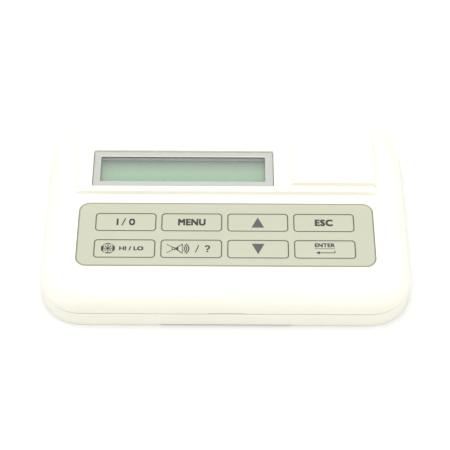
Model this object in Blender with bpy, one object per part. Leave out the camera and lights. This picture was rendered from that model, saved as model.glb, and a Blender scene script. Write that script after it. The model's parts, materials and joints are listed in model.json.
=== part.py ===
"""Wall-mounted alarm keypad panel, lying on its back: a two-shell snap-fit case with a membrane keypad
of eight snap-dome keys, a character display behind a framed window, and the main board that carries the rest.

Lengths are millimetres here and become metres as each mesh is made. +X is the panel's right, +Y its top
edge (towards the rear as it lies), +Z points out of its front. The origin is the middle of the back, on
the wall face.
"""

import math

import bmesh
import bpy

MM = 0.001
CORNER_STEPS = 4
CASE_CORNER_STEPS = 9

# Case: two shells that meet at a parting line all round.
CASE_W = 142.4
CASE_D = 92.4
CASE_CORNER_R = 16.5
WALL = 2.0
REAR_SHELL_H = 7.0
PARTING_GAP = 0.35
FACE_Z = 18.0
SIDE_CURVE = 11.7
FRONT_CURVE = 8.2
REAR_CURVE = 8.0
CURVE_STEPS = 9
CAVITY_TOP = 13.9
CATCH_Z = (8.75, 9.5)
HOOK_W = 11.0
HOOK_PLACES = ((-35.0, 1), (35.0, 1), (0.0, -1))
PRY_SLOT_HALF_W = 6.6
RELIEF_HALF_W, RELIEF_H = 25.0, 0.6
TONGUE_INSET = 2.3
TONGUE_H = 1.4
TONGUE_T = 1.2

# Middle of the membrane keypad, which the upper half is laid out from.
KEYPAD_Y = -15.95

# Raised block across the upper half, with a pad at its right end and a low shoulder at its left end.
BLOCK_HALF_W = 59.9
BLOCK_FRONT_Y = KEYPAD_Y + 19.8
BLOCK_REAR_Y = KEYPAD_Y + 51.3
BLOCK_TOP = 20.5
BLOCK_EDGE_R = 1.0
BLOCK_CORNER_R = 1.3
BLOCK_END_W = 4.2
BLOCK_SINK = 4.5
PAD_TOP = 22.5
PAD_FRONT_Y = KEYPAD_Y + 22.7
PAD_REAR_Y = KEYPAD_Y + 46.9
PAD_RAMP_X = (24.4, 27.0)
PAD_END_W = 2.8
PAD_END_STEP = 0.1
PAD_CORNER_R = 0.3
PAD_LEAN = 0.15
PAD_SINK = 0.3
PAD_EDGE_R = 0.7
SHOULDER_TOP = 21.2
SHOULDER_FRONT_Y = KEYPAD_Y + 22.0
SHOULDER_RAMP_X = (-54.4, -56.2)

# Display window, sunk into the block.
WINDOW_X, WINDOW_Y = -17.05, KEYPAD_Y + 31.65
WINDOW_W, WINDOW_D = 71.4, 18.3
WINDOW_TOP = 19.7
WINDOW_FRAME_T = 1.05
LENS_T = 0.6
LIP_Z = 17.9
LIP_UNDERSIDE = 16.9
OPENING_X, OPENING_Y = -17.25, KEYPAD_Y + 32.0
OPENING_W, OPENING_D = 65.5, 12.8

# Membrane keypad in its pocket, two rows of four keys.
KEYPAD_W, KEYPAD_D = 114.4, 30.8
KEYPAD_CORNER_R = 4.0
POCKET_FLOOR = 15.4
OVERLAY_T = 0.35
KEY_NAMES = (
    ("key_on_off", "key_menu", "key_up", "key_escape"),
    ("key_fan_speed", "key_mute_help", "key_down", "key_enter"),
)
KEY_W, KEY_D = 23.45, 8.75
KEY_CORNER_R = 1.4
KEY_PITCH_X, KEY_PITCH_Y = 25.6, 13.05
KEYS_X = -0.45
KEYS_Y = KEYPAD_Y - 0.7
KEY_GAP = 0.12
KEY_FLANGE = 0.375
CIRCUIT_T = 0.45
DOME_R = 3.6
DOME_H = 0.7
DOME_T = 0.15
TAIL_X = -38.0
TAIL_W, TAIL_T = 14.0, 0.3

# Display module, hung from four bosses under the front.
LCD_BOARD_W, LCD_BOARD_D, LCD_BOARD_Z = 80.0, 36.0, 8.0
LCD_HOLE_X, LCD_HOLE_Y = 37.5, 15.5
TAIL_Y = OPENING_Y - LCD_BOARD_D / 2 - 2.4
BOARD_T = 1.6
LCD_FRAME_W, LCD_FRAME_D, LCD_FRAME_TOP = 71.2, 25.2, 16.6
LCD_GLASS_W, LCD_GLASS_D, LCD_GLASS_T = 69.0, 20.0, 2.1
LCD_SHEET_T = 0.4

# Main board on four bosses of the rear shell.
MAIN_W, MAIN_Z = 114.0, 4.0
MAIN_Y = (-18.0, 25.0)
MAIN_HOLES = tuple((x, y) for y in (-14.0, 21.0) for x in (-52.0, 52.0))
MAIN_TOP = MAIN_Z + BOARD_T
PART_Z = MAIN_TOP + 0.15
TERMINAL_PITCH = 5.0
TERMINAL_COUNT = 4
TERMINAL_Y = -13.7

# Wall fixings and cable entry in the back.
FLOOR_T = 2.0
KEYHOLE_X, KEYHOLE_HEAD_Y, KEYHOLE_SLOT_Y = 41.75, 30.3, 37.0
KEYHOLE_HEAD_R, KEYHOLE_SLOT_R = 4.2, 2.2
LOWER_FIXING_Y, LOWER_FIXING_L = -27.0, 9.0
CABLE_ENTRY_Y, CABLE_ENTRY_W, CABLE_ENTRY_D = -29.6, 40.0, 14.0


def clear_scene():
    for obj in list(bpy.data.objects):
        bpy.data.objects.remove(obj, do_unlink=True)


def make_material(name, color, roughness, metallic=0.0, alpha=1.0):
    material = bpy.data.materials.new(name)
    material.use_nodes = True
    shader = material.node_tree.nodes["Principled BSDF"]
    shader.inputs["Base Color"].default_value = (*color, 1.0)
    shader.inputs["Roughness"].default_value = roughness
    shader.inputs["Metallic"].default_value = metallic
    shader.inputs["Alpha"].default_value = alpha
    return material


def make_materials():
    finishes = {
        "case_plastic": ((0.93, 0.91, 0.83), 0.45),
        "overlay_film": ((0.71, 0.72, 0.60), 0.42),
        "frame_plastic": ((0.66, 0.67, 0.64), 0.38),
        "lens_plastic": ((0.95, 0.97, 0.95), 0.05, 0.0, 0.3),
        "display_glass": ((0.42, 0.58, 0.38), 0.12),
        "light_guide": ((0.86, 0.92, 0.80), 0.30),
        "elastomer": ((0.30, 0.30, 0.31), 0.70),
        "circuit_board": ((0.05, 0.26, 0.11), 0.40),
        "spacer_film": ((0.82, 0.82, 0.78), 0.50),
        "circuit_film": ((0.72, 0.55, 0.24), 0.40),
        "dome_steel": ((0.74, 0.74, 0.75), 0.25, 1.0),
        "sheet_steel": ((0.55, 0.55, 0.56), 0.30, 1.0),
        "screw_steel": ((0.66, 0.65, 0.63), 0.30, 1.0),
        "chip_plastic": ((0.03, 0.03, 0.035), 0.50),
        "connector_plastic": ((0.88, 0.86, 0.78), 0.45),
        "terminal_plastic": ((0.06, 0.30, 0.14), 0.45),
        "capacitor_can": ((0.70, 0.71, 0.73), 0.25, 1.0),
        "trimmer_plastic": ((0.06, 0.14, 0.45), 0.45),
        "rotor_plastic": ((0.90, 0.89, 0.84), 0.45),
    }
    return {name: make_material(name, *values) for name, values in finishes.items()}


def rounded_section(x0, x1, y0, y1, radius, z, steps=CORNER_STEPS):
    """A rounded rectangle's corners, anticlockwise from above, at height z."""
    if radius <= 0:
        return [(x1, y0, z), (x1, y1, z), (x0, y1, z), (x0, y0, z)]
    centres = (
        (x1 - radius, y0 + radius, -90),
        (x1 - radius, y1 - radius, 0),
        (x0 + radius, y1 - radius, 90),
        (x0 + radius, y0 + radius, 180),
    )
    points = []
    for cx, cy, start in centres:
        for step in range(steps + 1):
            angle = math.radians(start + 90 * step / steps)
            points.append((cx + radius * math.cos(angle), cy + radius * math.sin(angle), z))
    return points


def centred_section(x, y, width, depth, radius, z, steps=CORNER_STEPS):
    return rounded_section(x - width / 2, x + width / 2, y - depth / 2, y + depth / 2, radius, z, steps)


def round_section(x, y, radius, z, steps=20):
    angles = [2 * math.pi * step / steps for step in range(steps)]
    return [(x + radius * math.cos(a), y + radius * math.sin(a), z) for a in angles]


def loft(name, sections, material=None):
    """One closed solid through sections that hold the same number of points, lowest first."""
    mesh = bmesh.new()
    rings = [[mesh.verts.new([value * MM for value in point]) for point in ring] for ring in sections]
    for low, high in zip(rings, rings[1:]):
        for index, corner in enumerate(low):
            after = (index + 1) % len(low)
            mesh.faces.new((corner, low[after], high[after], high[index]))
    mesh.faces.new(list(reversed(rings[0])))
    mesh.faces.new(rings[-1])
    data = bpy.data.meshes.new(name)
    mesh.to_mesh(data)
    mesh.free()
    obj = bpy.data.objects.new(name, data)
    bpy.context.scene.collection.objects.link(obj)
    if material:
        data.materials.append(material)
    return obj


def block(name, x_range, y_range, z_range, radius=0.0, material=None):
    low, high = z_range
    return loft(name, [rounded_section(*x_range, *y_range, radius, z) for z in (low, high)], material)


def plate(name, x, y, width, depth, z_range, radius=0.0, material=None):
    half_w, half_d = width / 2, depth / 2
    return block(name, (x - half_w, x + half_w), (y - half_d, y + half_d), z_range, radius, material)


def post(name, x, y, radius, z_range, material=None, steps=20):
    return loft(name, [round_section(x, y, radius, z, steps) for z in z_range], material)


def turned(name, x, y, profile, material=None, steps=12):
    """A solid turned about the vertical through (x, y), from (radius, z) pairs up its outside."""
    return loft(name, [round_section(x, y, radius, z, steps) for radius, z in profile], material)


def quarter_turn(steps):
    return [math.radians(90 * step / steps) for step in range(steps + 1)]


def combine(obj, tools, operation):
    """Join the tools to obj, or cut them from it, for good."""
    for tool in tools:
        modifier = obj.modifiers.new(operation.lower(), "BOOLEAN")
        modifier.operation = operation
        modifier.solver = "EXACT"
        modifier.object = tool
        graph = bpy.context.evaluated_depsgraph_get()
        made = bpy.data.meshes.new_from_object(obj.evaluated_get(graph), depsgraph=graph)
        obj.modifiers.clear()
        replaced, obj.data = obj.data, made
        made.name = obj.name
        bpy.data.meshes.remove(replaced)
        bpy.data.objects.remove(tool, do_unlink=True)
    return obj


def join(obj, *tools):
    return combine(obj, tools, "UNION")


def cut(obj, *tools):
    return combine(obj, tools, "DIFFERENCE")


def set_origin(obj, x, y, z):
    """Puts the object's origin at a point, such as one on its joint's axis, without moving its shape."""
    origin = [value * MM for value in (x, y, z)]
    for vertex in obj.data.vertices:
        vertex.co.x -= origin[0]
        vertex.co.y -= origin[1]
        vertex.co.z -= origin[2]
    obj.location = origin
    return obj


def shade(obj, angle=35):
    obj.data.shade_smooth()
    obj.data.set_sharp_from_angle(angle=math.radians(angle))
    return obj


def case_section(inset, z, radius_cut=0.0):
    half_w, half_d = CASE_W / 2 - inset, CASE_D / 2 - inset
    radius = CASE_CORNER_R - radius_cut - inset
    return rounded_section(-half_w, half_w, -half_d, half_d, radius, z, CASE_CORNER_STEPS)


def domed_section(rise, inset):
    """The front shell's outline at this rise above its rim, moved in by inset, with quarter ellipse sides."""
    height = FACE_Z - REAR_SHELL_H - PARTING_GAP
    turn = 1 - math.sqrt(max(0.0, 1 - (rise / height) ** 2))
    half_w = CASE_W / 2 - SIDE_CURVE * turn - inset
    y0 = -CASE_D / 2 + FRONT_CURVE * turn + inset
    y1 = CASE_D / 2 - REAR_CURVE * turn - inset
    radius = CASE_CORNER_R - REAR_CURVE * turn - inset
    z = REAR_SHELL_H + PARTING_GAP + rise
    return rounded_section(-half_w, half_w, y0, y1, radius, z, CASE_CORNER_STEPS)


def front_body(name, material):
    height = FACE_Z - REAR_SHELL_H - PARTING_GAP
    sections = [domed_section(height * math.sin(angle), 0.0) for angle in quarter_turn(CURVE_STEPS)]
    return loft(name, sections, material)


def front_cavity():
    rim = REAR_SHELL_H + PARTING_GAP
    rise = CAVITY_TOP - rim
    sections = [domed_section(rise * step / 4, WALL) for step in range(5)]
    below = [(x, y, rim - 1.0) for x, y, _ in sections[0]]
    return loft("cavity", [below, *sections])


def ellipse_inset(share, width):
    """How far a quarter ellipse of this width has come in, at a share of its height."""
    return width * (1 - math.sqrt(max(0.0, 1 - share * share)))


def edge_inset(z, top, radius):
    """How far an edge rounded by radius has come in, at height z."""
    return ellipse_inset(max(0.0, (z - top + radius) / radius), radius)


def raised_block():
    """The block: its long edges rounded, and its ends a low curve down to the face."""
    heights = [FACE_Z - BLOCK_SINK]
    heights += [FACE_Z + (BLOCK_TOP - FACE_Z) * math.sin(angle) for angle in quarter_turn(5)]
    sections = []
    for z in heights:
        x = BLOCK_HALF_W - ellipse_inset(max(0.0, z - FACE_Z) / (BLOCK_TOP - FACE_Z), BLOCK_END_W)
        inset = edge_inset(z, BLOCK_TOP, BLOCK_EDGE_R)
        y0, y1 = BLOCK_FRONT_Y + inset, BLOCK_REAR_Y - inset
        sections.append(rounded_section(-x, x, y0, y1, BLOCK_CORNER_R, z))
    return loft("raised_block", sections)


def end_pad(name, side, ramp_x, front_y, top):
    """A raised pad at one end of the block: a ramp at its inner end, a curve down to the face at its outer."""
    foot, crest = ramp_x
    reach = top - FACE_Z
    steps = quarter_turn(5)
    heights = [FACE_Z - PAD_SINK, *[FACE_Z + reach * math.sin(angle) for angle in steps[1:]]]
    sections = []
    for z in heights:
        outer = BLOCK_HALF_W - PAD_END_STEP - ellipse_inset(max(0.0, z - FACE_Z) / reach, PAD_END_W)
        share = max(0.0, (z - BLOCK_TOP) / (top - BLOCK_TOP))
        inner = foot + (crest - foot) * share
        inset = edge_inset(z, top, PAD_EDGE_R) + PAD_LEAN * share
        x0, x1 = sorted((inner, side * outer))
        sections.append(rounded_section(x0, x1, front_y + inset, PAD_REAR_Y - inset, PAD_CORNER_R, z, 3))
    return loft(name, sections)


def right_pad():
    return end_pad("right_pad", 1, PAD_RAMP_X, PAD_FRONT_Y, PAD_TOP)


def left_shoulder():
    return end_pad("left_shoulder", -1, SHOULDER_RAMP_X, SHOULDER_FRONT_Y, SHOULDER_TOP)


def lcd_holes():
    return [(OPENING_X + sx * LCD_HOLE_X, OPENING_Y + sy * LCD_HOLE_Y) for sy in (-1, 1) for sx in (-1, 1)]


def lcd_bosses():
    bosses = []
    for x, y in lcd_holes():
        top = CAVITY_TOP + 0.6 if y < OPENING_Y else LIP_UNDERSIDE + 0.3
        bosses.append(post("boss", x, y, 2.6, (LCD_BOARD_Z + BOARD_T + 0.3, top)))
    return bosses


def lcd_pilot_holes():
    return [post("pilot", x, y, 1.3, (LCD_BOARD_Z, CAVITY_TOP - 0.5), None, 12) for x, y in lcd_holes()]


def catch_ribs():
    """Ledges inside the front shell that the rear shell's hooks snap over."""
    ribs = []
    half_w = HOOK_W / 2 + 0.5
    for x, side in HOOK_PLACES:
        y_range = sorted((side * (CASE_D / 2 - 3.7), side * (CASE_D / 2 - 1.2)))
        ribs.append(block("catch", (x - half_w, x + half_w), y_range, CATCH_Z))
    return ribs


def make_front_cover(finish):
    cover = front_body("front_cover", finish["case_plastic"])
    join(cover, raised_block(), right_pad(), left_shoulder())
    half_w, half_d = KEYPAD_W / 2 + 0.2, KEYPAD_D / 2 + 0.2
    pocket_y = (KEYPAD_Y - half_d, KEYPAD_Y + half_d)
    display_y = (OPENING_Y - LCD_FRAME_D / 2 - 0.4, BLOCK_REAR_Y - WALL)
    pry_x = (-PRY_SLOT_HALF_W, PRY_SLOT_HALF_W)
    pry_z = (REAR_SHELL_H - 1, REAR_SHELL_H + PARTING_GAP + 0.6)
    pad_y = (PAD_FRONT_Y + 0.6, PAD_REAR_Y - WALL)
    cut(
        cover,
        front_cavity(),
        block("display_cavity", (-58.0, 24.0), display_y, (CAVITY_TOP - 1, LIP_UNDERSIDE)),
        block("pad_cavity", (27.5, 57.0), pad_y, (CAVITY_TOP - 1, PAD_TOP - 2.4), 1.0),
        block("pocket", (-half_w, half_w), pocket_y, (POCKET_FLOOR, FACE_Z + 1), KEYPAD_CORNER_R + 0.2),
        plate("recess", WINDOW_X, WINDOW_Y, WINDOW_W + 0.4, WINDOW_D + 0.4, (LIP_Z, BLOCK_TOP + 1), 0.6),
        plate("opening", OPENING_X, OPENING_Y, OPENING_W + 0.6, OPENING_D + 0.6, (LIP_Z - 2, LIP_Z + 1)),
        plate("tail_slot", TAIL_X, TAIL_Y, TAIL_W + 3, 1.6, (CAVITY_TOP - 1, POCKET_FLOOR + 1)),
        block("pry_slot", pry_x, (-CASE_D / 2 - 1, -CASE_D / 2 + 1.3), pry_z),
    )
    join(cover, *lcd_bosses(), *catch_ribs())
    cut(cover, *lcd_pilot_holes())
    return shade(cover)


def rear_body(material):
    """Upright wall with a small lip at the parting line, then the locating tongue."""
    profile = (
        (0.3, 0.0),
        (0.1, 0.2),
        (0.0, REAR_SHELL_H - 0.8),
        (-0.1, REAR_SHELL_H - 0.45),
        (0.05, REAR_SHELL_H - 0.15),
        (0.3, REAR_SHELL_H),
        (TONGUE_INSET, REAR_SHELL_H),
        (TONGUE_INSET, REAR_SHELL_H + TONGUE_H),
    )
    return loft("rear_cover", [case_section(inset, z) for inset, z in profile], material)


def fixing_cutters(x):
    """A screw-head hole that narrows into a slot above it, and a slot near the panel's lower edge."""
    z_range = (-1.0, FLOOR_T + 1.0)
    width = 2 * KEYHOLE_SLOT_R
    round_r = KEYHOLE_SLOT_R - 0.05
    middle_y = (KEYHOLE_HEAD_Y + KEYHOLE_SLOT_Y + KEYHOLE_SLOT_R) / 2
    length = KEYHOLE_SLOT_Y + KEYHOLE_SLOT_R - KEYHOLE_HEAD_Y
    return [
        post("head", x, KEYHOLE_HEAD_Y, KEYHOLE_HEAD_R, z_range, None, 22),
        plate("slot", x, middle_y, width, length, z_range, round_r),
        plate("fixing", x, LOWER_FIXING_Y, LOWER_FIXING_L, width, z_range, round_r),
    ]


def snap_hook(x, side):
    """An upright tab with a barb that catches over a ledge of the front shell."""
    along = (x - HOOK_W / 2, x + HOOK_W / 2)
    edge = CASE_D / 2
    tab_y = sorted((side * (edge - 5.5), side * (edge - 4.0)))
    tab = block("hook", along, tab_y, (FLOOR_T - 0.5, 11.4))
    narrow = (along[0] + 0.3, along[1] - 0.3)
    barb = block("barb", narrow, sorted((side * (edge - 4.9), side * (edge - 3.0))), (9.85, 10.9))
    return join(tab, barb)


def board_bosses():
    return [post("boss", x, y, 3.0, (FLOOR_T - 0.5, MAIN_Z - 0.3)) for x, y in MAIN_HOLES]


def make_rear_cover(finish):
    cover = rear_body(finish["case_plastic"])
    inner = TONGUE_INSET + TONGUE_T
    cavity = loft("cavity", [case_section(inner, z) for z in (FLOOR_T, REAR_SHELL_H + TONGUE_H + 1)])
    cut(cover, cavity)
    join(cover, *board_bosses(), *[snap_hook(x, side) for x, side in HOOK_PLACES])
    entry_z = (-1.0, FLOOR_T + 1.0)
    entry = plate("entry", 0.0, CABLE_ENTRY_Y, CABLE_ENTRY_W, CABLE_ENTRY_D, entry_z, 2.0)
    relief_x = (-RELIEF_HALF_W, RELIEF_HALF_W)
    relief = block("relief", relief_x, (-CASE_D / 2 - 1, -CASE_D / 2 + 3.0), (-1.0, RELIEF_H))
    cut(cover, entry, relief, *fixing_cutters(-KEYHOLE_X), *fixing_cutters(KEYHOLE_X))
    cut(cover, *[post("pilot", x, y, 1.3, (0.8, MAIN_Z + 1), None, 12) for x, y in MAIN_HOLES])
    return shade(cover)


def make_window(finish):
    top, bottom = WINDOW_TOP, WINDOW_TOP - WINDOW_FRAME_T
    frame = plate(
        "window_frame", WINDOW_X, WINDOW_Y, WINDOW_W, WINDOW_D, (bottom, top), 0.5, finish["frame_plastic"]
    )
    chamfer = 0.45
    spans = ((bottom - 1, 0.0), (top - chamfer, 0.0), (top + 1, 2 * (chamfer + 1)))
    sections = [
        centred_section(OPENING_X, OPENING_Y, OPENING_W + grow, OPENING_D + grow, 0.3 + grow / 4, z, 2)
        for z, grow in spans
    ]
    cut(frame, loft("opening", sections))
    lens_z = (LIP_Z + 0.07, LIP_Z + 0.07 + LENS_T)
    lens_w, lens_d = WINDOW_W - 0.2, WINDOW_D - 0.2
    plate("window_lens", WINDOW_X, WINDOW_Y, lens_w, lens_d, lens_z, 0.5, finish["lens_plastic"])


def key_places():
    """(name, x, y) of each key, left to right, upper row first."""
    for row, names in enumerate(KEY_NAMES):
        for column, name in enumerate(names):
            yield name, KEYS_X + (column - 1.5) * KEY_PITCH_X, KEYS_Y + (0.5 - row) * KEY_PITCH_Y


def key_windows(margin, radius, z_range):
    return [
        plate("window", x, y, KEY_W + 2 * margin, KEY_D + 2 * margin, z_range, radius)
        for _, x, y in key_places()
    ]


def make_overlay(finish):
    low = FACE_Z - OVERLAY_T
    sheet = plate(
        "keypad_overlay",
        0.0,
        KEYPAD_Y,
        KEYPAD_W,
        KEYPAD_D,
        (low, FACE_Z),
        KEYPAD_CORNER_R,
        finish["overlay_film"],
    )
    return cut(sheet, *key_windows(KEY_GAP, KEY_CORNER_R + KEY_GAP, (low - 1, FACE_Z + 1)))


def make_key(name, x, y, finish):
    """The keytop, the flange that keeps it under the overlay, and the nib that presses the dome."""
    foot = FACE_Z - 0.9
    key = plate(name, x, y, KEY_W, KEY_D, (foot, FACE_Z), KEY_CORNER_R, finish["overlay_film"])
    flange_z = (foot, FACE_Z - OVERLAY_T - 0.1)
    join(
        key,
        plate("flange", x, y, KEY_W + 2 * KEY_FLANGE, KEY_D + 2 * KEY_FLANGE, flange_z, KEY_CORNER_R),
        post("nib", x, y, 1.5, (foot - 0.3, foot + 0.2), None, 12),
    )
    return set_origin(key, x, y, FACE_Z)


def make_dome(name, x, y, base, finish):
    """A thin pressed dome: up its outside, over the crown and back down inside, with an open foot."""
    outer_r, inner_r = DOME_R, DOME_R - DOME_T
    mesh_steps = 3
    outside = [(outer_r * math.cos(a), base + DOME_H * math.sin(a)) for a in quarter_turn(mesh_steps)]
    inner_h = DOME_H - DOME_T
    inside = [(inner_r * math.cos(a), base + inner_h * math.sin(a)) for a in quarter_turn(mesh_steps)]
    shell = turned(name, x, y, [*outside[:-1], (0.3, base + DOME_H)], finish["dome_steel"])
    hollow = turned("hollow", x, y, [(inner_r, base - 1), *inside[:-1], (0.3, base + inner_h)])
    return set_origin(cut(shell, hollow), x, y, base)


def make_keypad_layers(finish):
    circuit_z = (POCKET_FLOOR + 0.05, POCKET_FLOOR + 0.05 + CIRCUIT_T)
    width, depth = KEYPAD_W - 0.4, KEYPAD_D - 0.4
    circuit = plate("keypad_circuit", 0.0, KEYPAD_Y, width, depth, circuit_z, 3.8, finish["circuit_film"])
    join(circuit, plate("tail", TAIL_X, TAIL_Y, TAIL_W, TAIL_T, (7.3, circuit_z[0] + 0.2)))
    spacer_z = (circuit_z[1] + 0.1, FACE_Z - OVERLAY_T - 0.1)
    spacer = plate("keypad_spacer", 0.0, KEYPAD_Y, width, depth, spacer_z, 3.8, finish["spacer_film"])
    cut(spacer, *key_windows(KEY_FLANGE + 0.15, KEY_CORNER_R, (spacer_z[0] - 1, spacer_z[1] + 1)))
    for number, (_, x, y) in enumerate(key_places(), start=1):
        make_dome(f"snap_dome_{number}", x, y, spacer_z[0], finish)


def make_keypad_connector(finish):
    body = plate(
        "keypad_connector", TAIL_X, TAIL_Y, 18.0, 3.6, (PART_Z, 9.5), 0.0, finish["connector_plastic"]
    )
    return cut(body, plate("mouth", TAIL_X, TAIL_Y, TAIL_W + 1, TAIL_T + 0.6, (7.0, 10.5)))


def make_screw(name, x, y, head_z, tip_z, shank_r, finish):
    """A pan head with a cross recess. The shank runs from the head to tip_z, upwards or downwards."""
    up = 1 if tip_z > head_z else -1
    height = 1.5
    far = head_z - up * height
    profile = [(2.2, head_z), (2.2, head_z - up * 0.9), (1.5, far)]
    screw = turned(name, x, y, sorted(profile, key=lambda pair: pair[1]), finish["screw_steel"], 16)
    join(screw, post("shank", x, y, shank_r, sorted((head_z - up * 0.3, tip_z)), None, 12))
    low, high = sorted((far - up * 1.0, far + up * 0.8))
    for width, depth in ((2.2, 0.5), (0.5, 2.2)):
        cut(screw, plate("recess", x, y, width, depth, (low, high)))
    return shade(screw)


def make_lcd_board(finish):
    z_range = (LCD_BOARD_Z, LCD_BOARD_Z + BOARD_T)
    board = plate(
        "lcd_board", OPENING_X, OPENING_Y, LCD_BOARD_W, LCD_BOARD_D, z_range, 1.0, finish["circuit_board"]
    )
    through = (LCD_BOARD_Z - 1, z_range[1] + 1)
    return cut(board, *[post("hole", x, y, 1.4, through, None, 12) for x, y in lcd_holes()])


def make_lcd_frame(finish):
    """The pressed steel cover that clamps glass and light guide to the board."""
    low = LCD_BOARD_Z + BOARD_T + 0.15
    high = LCD_FRAME_TOP
    shell = plate(
        "lcd_frame", OPENING_X, OPENING_Y, LCD_FRAME_W, LCD_FRAME_D, (low, high), 0.6, finish["sheet_steel"]
    )
    inner_w, inner_d = LCD_FRAME_W - 2 * LCD_SHEET_T, LCD_FRAME_D - 2 * LCD_SHEET_T
    cut(
        shell,
        plate("inside", OPENING_X, OPENING_Y, inner_w, inner_d, (low - 1, high - LCD_SHEET_T)),
        plate("view", OPENING_X, OPENING_Y, OPENING_W + 1.6, OPENING_D + 2.2, (high - 1, high + 1), 0.4),
    )
    return shell


def make_lcd_stack(finish):
    low = LCD_BOARD_Z + BOARD_T + 0.15
    glass_top = LCD_FRAME_TOP - LCD_SHEET_T - 0.1
    glass_z = (glass_top - LCD_GLASS_T, glass_top)
    glass = (OPENING_X, OPENING_Y, LCD_GLASS_W, LCD_GLASS_D)
    plate("lcd_glass", *glass, glass_z, 0.0, finish["display_glass"])
    below_glass = (low, glass_z[0] - 0.15)
    plate("lcd_backlight", OPENING_X, OPENING_Y, 66.0, 15.4, below_glass, 0.0, finish["light_guide"])
    for name, side in (("elastomer_strip_front", -1), ("elastomer_strip_rear", 1)):
        plate(name, OPENING_X, OPENING_Y + side * 9.0, 62.0, 1.8, below_glass, 0.0, finish["elastomer"])


def make_lcd_connector(finish):
    """The strip that joins the display board to the main board, with solder feet in both rows."""
    x, y = -28.0, OPENING_Y - LCD_BOARD_D / 2 + 3.3
    gap = (PART_Z, LCD_BOARD_Z - 0.15)
    strip = plate("lcd_connector", x, y, 40.6, 2.2, gap, 0.0, finish["connector_plastic"])
    feet = [
        plate("foot", x + (index - 7.5) * 2.54, y, 0.7, 3.6, (PART_Z, PART_Z + 0.4)) for index in range(16)
    ]
    return join(strip, *feet)


def make_main_board(finish):
    half = MAIN_W / 2
    board = block("main_board", (-half, half), MAIN_Y, (MAIN_Z, MAIN_TOP), 1.5, finish["circuit_board"])
    through = (MAIN_Z - 1, MAIN_TOP + 1)
    return cut(board, *[post("hole", x, y, 1.4, through, None, 12) for x, y in MAIN_HOLES])


def make_microcontroller(finish):
    """A flat package with a row of feet on each side."""
    x, y, side, count, pitch = -22.0, 13.0, 12.0, 8, 1.27
    body_z = (PART_Z + 0.1, PART_Z + 1.4)
    body = plate("microcontroller", x, y, side, side, body_z, 0.0, finish["chip_plastic"])
    z_range = (PART_Z, PART_Z + 0.3)
    reach = side / 2 + 0.4
    for index in range(count):
        along = (index - (count - 1) / 2) * pitch
        for edge in (-1, 1):
            join(
                body,
                plate("foot", x + edge * reach, y + along, 1.6, 0.5, z_range),
                plate("foot", x + along, y + edge * reach, 0.5, 1.6, z_range),
            )
    return body


def make_regulator(finish):
    x, y = 30.0, -11.0
    body_z = (PART_Z + 0.2, PART_Z + 2.3)
    body = plate("voltage_regulator", x, y, 6.6, 6.1, body_z, 0.3, finish["chip_plastic"])
    tab = plate("tab", x, y + 3.6, 5.4, 2.6, (PART_Z, PART_Z + 0.6))
    legs = [plate("leg", x + side * 2.3, y - 4.2, 0.8, 3.2, (PART_Z, PART_Z + 0.6)) for side in (-1, 1)]
    return join(body, tab, *legs)


def make_crystal(finish):
    x, y = 32.0, 1.0
    base = plate("crystal", x, y, 11.2, 4.7, (PART_Z, PART_Z + 0.5), 2.3, finish["sheet_steel"])
    can = loft(
        "can",
        [
            centred_section(x, y, 10.2, 3.8, 1.85, PART_Z + 0.3),
            centred_section(x, y, 10.2, 3.8, 1.85, PART_Z + 3.1),
            centred_section(x, y, 9.6, 3.2, 1.55, PART_Z + 3.5),
        ],
    )
    return shade(join(base, can))


def make_capacitor(finish):
    z = PART_Z
    profile = ((3.1, z), (3.1, z + 0.7), (2.85, z + 1.0), (3.1, z + 1.3), (3.1, z + 6.6), (2.8, z + 7.0))
    return shade(turned("capacitor", 31.0, 14.0, profile, finish["capacitor_can"], 20))


def make_buzzer(finish):
    x, y = 43.5, 9.0
    z = PART_Z
    profile = ((6.0, z), (6.0, z + 7.0), (5.7, z + 7.4))
    body = turned("buzzer", x, y, profile, finish["chip_plastic"], 28)
    return shade(cut(body, post("sound_hole", x, y, 1.2, (z + 4.0, z + 9.0), None, 14)))


def terminal_places():
    return [(index - (TERMINAL_COUNT - 1) / 2) * TERMINAL_PITCH for index in range(TERMINAL_COUNT)]


def make_terminal_block(finish):
    """Screw wells open upwards, and each meets a wire mouth that faces the cable entry."""
    width = TERMINAL_PITCH * TERMINAL_COUNT
    z = PART_Z
    sections = [
        rounded_section(-width / 2, width / 2, TERMINAL_Y - 3.8, TERMINAL_Y + 3.8, 0, height)
        for height in (z, z + 5.2)
    ]
    sections.append(rounded_section(-width / 2, width / 2, TERMINAL_Y - 2.5, TERMINAL_Y + 2.9, 0, z + 7.6))
    body = loft("terminal_block", sections, finish["terminal_plastic"])
    for x in terminal_places():
        cut(
            body,
            post("well", x, TERMINAL_Y, 1.85, (z + 2.4, z + 9.0), None, 14),
            block("mouth", (x - 1.6, x + 1.6), (TERMINAL_Y - 5.0, TERMINAL_Y), (z + 0.9, z + 4.2)),
        )
    screw_z, slot_z = (z + 4.6, z + 6.6), (z + 5.9, z + 7.5)
    for number, x in enumerate(terminal_places(), start=1):
        screw = post(f"terminal_screw_{number}", x, TERMINAL_Y, 1.5, screw_z, finish["screw_steel"], 14)
        shade(cut(screw, plate("slot", x, TERMINAL_Y, 4.0, 0.5, slot_z)))


def make_trimmer(finish):
    """The contrast trimmer: a square body and the slotted rotor that turns in it."""
    x, y, z = 48.0, -9.0, PART_Z
    body = plate("contrast_trimmer", x, y, 6.0, 6.0, (z, z + 3.0), 0.4, finish["trimmer_plastic"])
    cut(body, post("bore", x, y, 2.1, (z + 1.2, z + 4.0)))
    profile = ((2.0, z + 1.35), (2.0, z + 3.1), (1.8, z + 3.3))
    rotor = turned("trimmer_rotor", x, y, profile, finish["rotor_plastic"], 20)
    cut(rotor, plate("slot", x, y, 3.2, 0.6, (z + 2.4, z + 4.0)))
    return set_origin(shade(rotor), x, y, z)


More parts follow.
